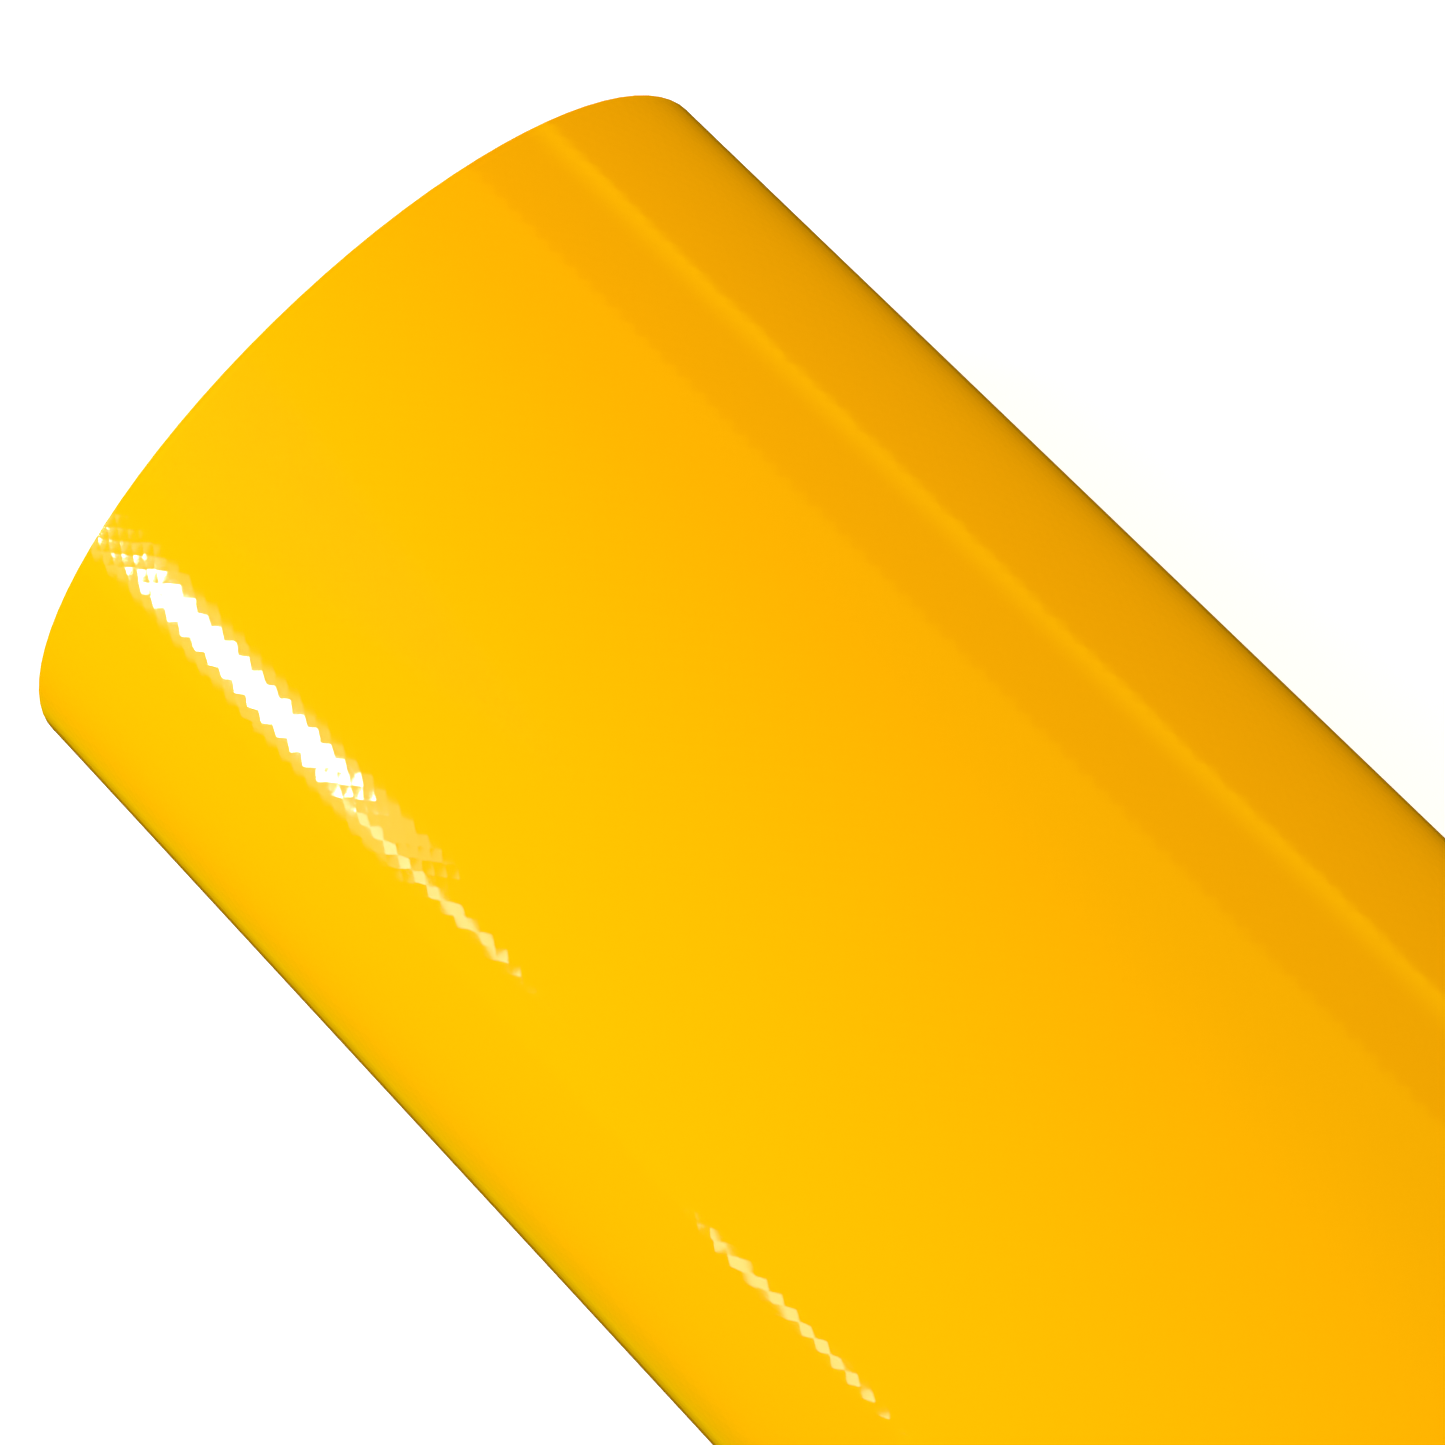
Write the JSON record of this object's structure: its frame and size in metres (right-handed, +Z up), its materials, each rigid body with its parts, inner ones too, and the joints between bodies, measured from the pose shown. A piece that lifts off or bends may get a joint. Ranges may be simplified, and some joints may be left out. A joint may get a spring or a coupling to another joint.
{
  "type": "roll of sign vinyl",
  "caption": "Roll of glossy self-adhesive film on release liner, wound on a paper core, with a loose end that lifts and a film flap that peels.",
  "frame": {"origin": "middle of the core's bore", "axes": "+X along the core, +Y to the back, where the loose end hangs, +Z up with the roll lying on its side"},
  "size_m": [0.612, 0.0989, 0.0985],
  "materials": {
    "yellow_film": "gloss",
    "release_paper": "satin",
    "core_board": "matte",
    "clear_tape": "gloss"
  },
  "bodies": {
    "roll": {"core_ply_1": "core_board", "core_ply_2": "core_board", "core_ply_3": "core_board", "core_ply_4": "core_board", "core_ply_5": "core_board", "core_ply_6": "core_board", "core_ply_7": "core_board", "core_ply_8": "core_board", "start_tape": "clear_tape", "release_liner": "release_paper", "face_film": "yellow_film"},
    "tail": {"tail_liner": "release_paper", "tail_film": "yellow_film"},
    "flap": {"film_flap": "yellow_film", "hold_down_tab_1": "clear_tape", "hold_down_tab_2": "clear_tape", "hold_down_tab_3": "clear_tape"}
  },
  "joints": [
    {"name": "tail_lift", "type": "hinge", "parent": "roll", "child": "tail", "pos_m": [0, 0.04796, 0.01282], "axis": [1, 0, 0], "range_deg": [0, 80]},
    {"name": "film_peel", "type": "hinge", "parent": "tail", "child": "flap", "pos_m": [0, 0.04836, -0.01133], "axis": [1, 0, 0], "range_deg": [0, 110]}
  ]
}
